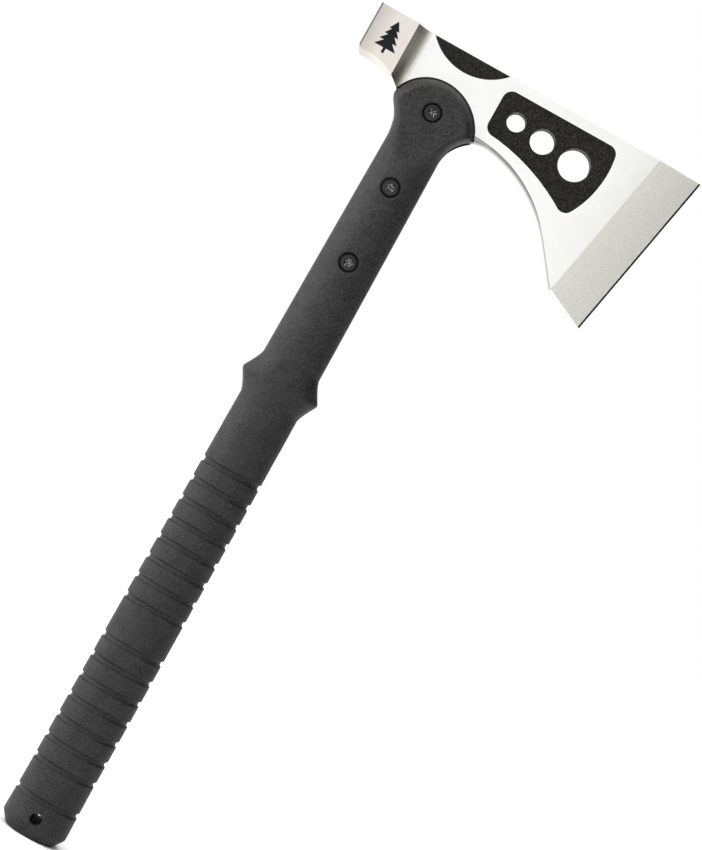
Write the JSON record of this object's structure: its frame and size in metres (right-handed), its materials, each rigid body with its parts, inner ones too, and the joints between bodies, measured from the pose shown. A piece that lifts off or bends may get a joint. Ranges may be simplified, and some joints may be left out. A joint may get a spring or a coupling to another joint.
{
  "type": "camp hatchet",
  "caption": "Full-size camp hatchet: steel head with straight ground edge, square poll and tang, bolted into a black ribbed polymer handle with a small guard and a lanyard hole.",
  "frame": {"origin": "middle of the flat butt face, on the handle's axis", "axes": "+Z along the handle to the head, +X toward the cutting edge, Y across the faces"},
  "size_m": [0.1633, 0.0268, 0.4],
  "materials": {
    "head_steel": "satin stainless steel with black enamelled recesses",
    "handle_polymer": "fine-grained glass-filled nylon",
    "black_oxide_steel": "black oxide"
  },
  "bodies": {
    "root": {"head": "head_steel", "handle": "handle_polymer", "screw_upper": "black_oxide_steel", "screw_middle": "black_oxide_steel", "screw_lower": "black_oxide_steel", "barrel_nut_upper": "black_oxide_steel", "barrel_nut_middle": "black_oxide_steel", "barrel_nut_lower": "black_oxide_steel"}
  },
  "joints": []
}
